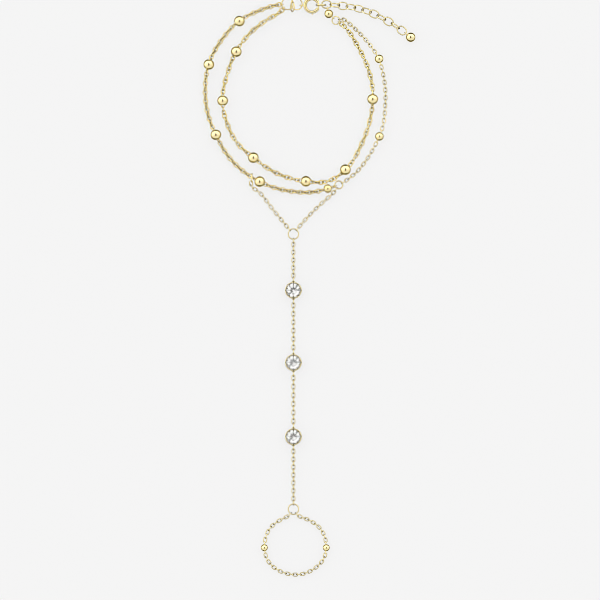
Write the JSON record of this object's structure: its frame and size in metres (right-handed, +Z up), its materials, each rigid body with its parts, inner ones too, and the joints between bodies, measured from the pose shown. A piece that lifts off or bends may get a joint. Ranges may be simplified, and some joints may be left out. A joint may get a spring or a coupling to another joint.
{
  "type": "hand chain bracelet",
  "caption": "Pale gold hand chain laid flat: twisted wrist strands with balls, spring ring clasp and extender, a line of set stones over the hand and a finger loop.",
  "frame": {"origin": "middle of the wrist loop, on the surface that the piece lies on", "axes": "+X across the wrist towards the extender's free end, +Y from the finger loop towards the clasp, +Z up from the surface"},
  "size_m": [0.0679, 0.1853, 0.0034],
  "materials": {
    "strand_gold": "polished, fine twisted links",
    "ball_gold": "mirror polished",
    "chain_gold": "polished",
    "ring_gold": "polished",
    "clasp_gold": "polished",
    "setting_gold": "polished, scalloped rim",
    "stone": "faceted, clear with a warm grey tint"
  },
  "bodies": {
    "root": {"inner_strand": "strand_gold", "outer_strand": "strand_gold", "inner_ball_1": "ball_gold", "inner_ball_2": "ball_gold", "inner_ball_3": "ball_gold", "inner_ball_4": "ball_gold", "inner_ball_5": "ball_gold", "inner_ball_6": "ball_gold", "outer_ball_1": "ball_gold", "outer_ball_2": "ball_gold", "outer_ball_3": "ball_gold", "outer_ball_4": "ball_gold", "outer_ball_5": "ball_gold", "strand_ring": "ring_gold", "clasp_link_ring": "ring_gold", "clasp_ring": "ring_gold", "clasp_body": "clasp_gold", "clasp_link": "chain_gold", "end_link": "chain_gold", "extender_chain": "chain_gold", "extender_ball": "ball_gold", "end_bead": "ball_gold", "end_ring": "ring_gold", "right_chain_1": "chain_gold", "right_bead_1": "ball_gold", "right_chain_2": "chain_gold", "right_bead_2": "ball_gold", "right_chain_3": "chain_gold", "side_ring": "ring_gold", "arm_ring": "ring_gold", "arm_left": "chain_gold", "arm_right": "chain_gold", "hand_ring": "ring_gold", "hand_chain_1": "chain_gold", "hand_chain_2": "chain_gold", "hand_chain_3": "chain_gold", "hand_chain_4": "chain_gold", "setting_1": "setting_gold", "setting_2": "setting_gold", "setting_3": "setting_gold", "stone_1": "stone", "stone_2": "stone", "stone_3": "stone", "finger_ring": "ring_gold", "finger_chain_left": "chain_gold", "finger_bead_left": "ball_gold", "finger_chain_front": "chain_gold", "finger_bead_right": "ball_gold", "finger_chain_right": "chain_gold"},
    "latch": {"clasp_latch": "clasp_gold"}
  },
  "joints": [
    {"name": "latch_slide", "type": "hinge", "parent": "root", "child": "latch", "pos_m": [0.0059, 0.0302, 0.00098], "axis": [0, 0, -1], "range_deg": [0, 56], "stiffness_Nm_per_rad": 0.002}
  ]
}
